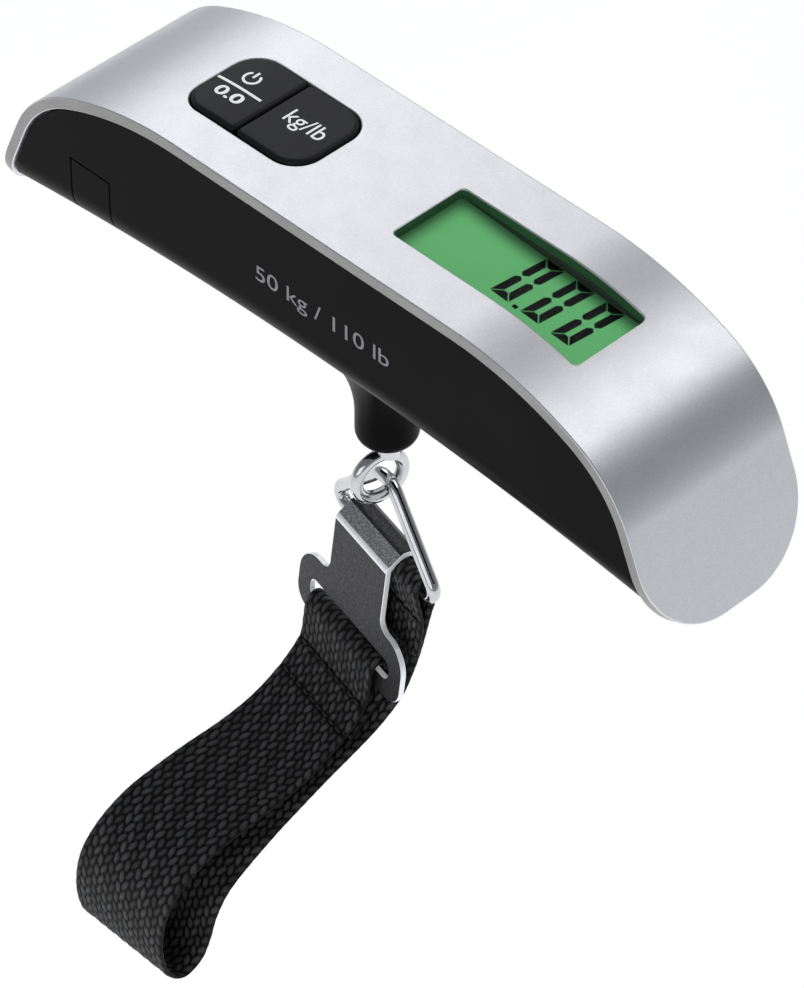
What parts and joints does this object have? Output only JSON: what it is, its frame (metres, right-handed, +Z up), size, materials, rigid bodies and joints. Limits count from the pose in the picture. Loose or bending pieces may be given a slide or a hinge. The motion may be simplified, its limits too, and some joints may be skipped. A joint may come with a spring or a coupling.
{
  "type": "digital luggage scale",
  "caption": "Arched hand grip with a display and two keys; a webbing strap with a hook clip hangs from a swivelling wire ring to hold a bag's handle while it is weighed.",
  "frame": {"origin": "top centre of the cover, where the palm rests when the scale is held up", "axes": "+X along the grip towards the display end, +Y across the grip away from the side with the latch tab, +Z up"},
  "size_m": [0.1462, 0.0674, 0.1416],
  "materials": {
    "cover_silver": "satin",
    "housing_black": "satin",
    "inner_plastic": "matte",
    "key_plastic": "satin",
    "clear_window": "gloss",
    "display_green": "gloss",
    "light_guide": "satin",
    "contact_rubber": "matte",
    "board_green": "satin",
    "chip_black": "matte",
    "screw_steel": "satin",
    "cell_aluminium": "satin",
    "gauge_film": "gloss",
    "wire_red": "matte",
    "cell_steel": "satin",
    "contact_spring": "satin",
    "bright_chrome": "polished",
    "washer_brass": "satin",
    "clip_steel": "grained",
    "webbing_black": "woven",
    "thread_black": "matte"
  },
  "bodies": {
    "housing": {"top_cover": "cover_silver", "inner_frame": "inner_plastic", "lower_housing": "housing_black", "display_lens": "clear_window", "display_glass": "display_green", "backlight_panel": "light_guide", "contact_strips": "contact_rubber", "circuit_board": "board_green", "control_chip": "chip_black", "key_switches": "chip_black", "board_screws": "screw_steel", "load_cell": "cell_aluminium", "strain_gauges": "gauge_film", "signal_wires": "wire_red", "load_cell_screws": "screw_steel", "housing_screws": "screw_steel", "battery_tray": "inner_plastic", "coin_cell": "cell_steel", "battery_contact_negative": "contact_spring", "battery_contact_positive": "contact_spring"},
    "power_key": {"key_power": "key_plastic"},
    "unit_key": {"key_unit": "key_plastic"},
    "door": {"battery_door": "housing_black"},
    "swivel": {"swivel_eye": "bright_chrome", "swivel_nut": "screw_steel", "thrust_washer": "washer_brass"},
    "ring": {"wire_ring": "bright_chrome"},
    "strap": {"strap_clip": "clip_steel", "strap_webbing": "webbing_black", "strap_stitching": "thread_black"}
  },
  "joints": [
    {"name": "power_key_press", "type": "slide", "parent": "housing", "child": "power_key", "axis": [0, 0, -1], "range_m": [0, 0.0006], "stiffness_N_per_m": 1500, "springref_m": -0.0004},
    {"name": "unit_key_press", "type": "slide", "parent": "housing", "child": "unit_key", "axis": [0, 0, -1], "range_m": [0, 0.0006], "stiffness_N_per_m": 1500, "springref_m": -0.0004},
    {"name": "battery_door_hinge", "type": "hinge", "parent": "housing", "child": "door", "pos_m": [-0.049, 0.011, -0.0302], "axis": [0.9963, 0, 0.0861], "range_deg": [0, 80]},
    {"name": "hook_swivel", "type": "hinge", "parent": "housing", "child": "swivel", "pos_m": [0, 0, -0.048], "axis": [0, 0, 1], "continuous": true},
    {"name": "ring_swing", "type": "hinge", "parent": "swivel", "child": "ring", "pos_m": [0, 0, -0.05895], "axis": [0.9744, -0.225, 0], "range_deg": [-30, 70]},
    {"name": "strap_swing", "type": "hinge", "parent": "ring", "child": "strap", "pos_m": [0, 0, -0.074], "axis": [0.9744, -0.225, 0], "range_deg": [-20, 45]}
  ]
}
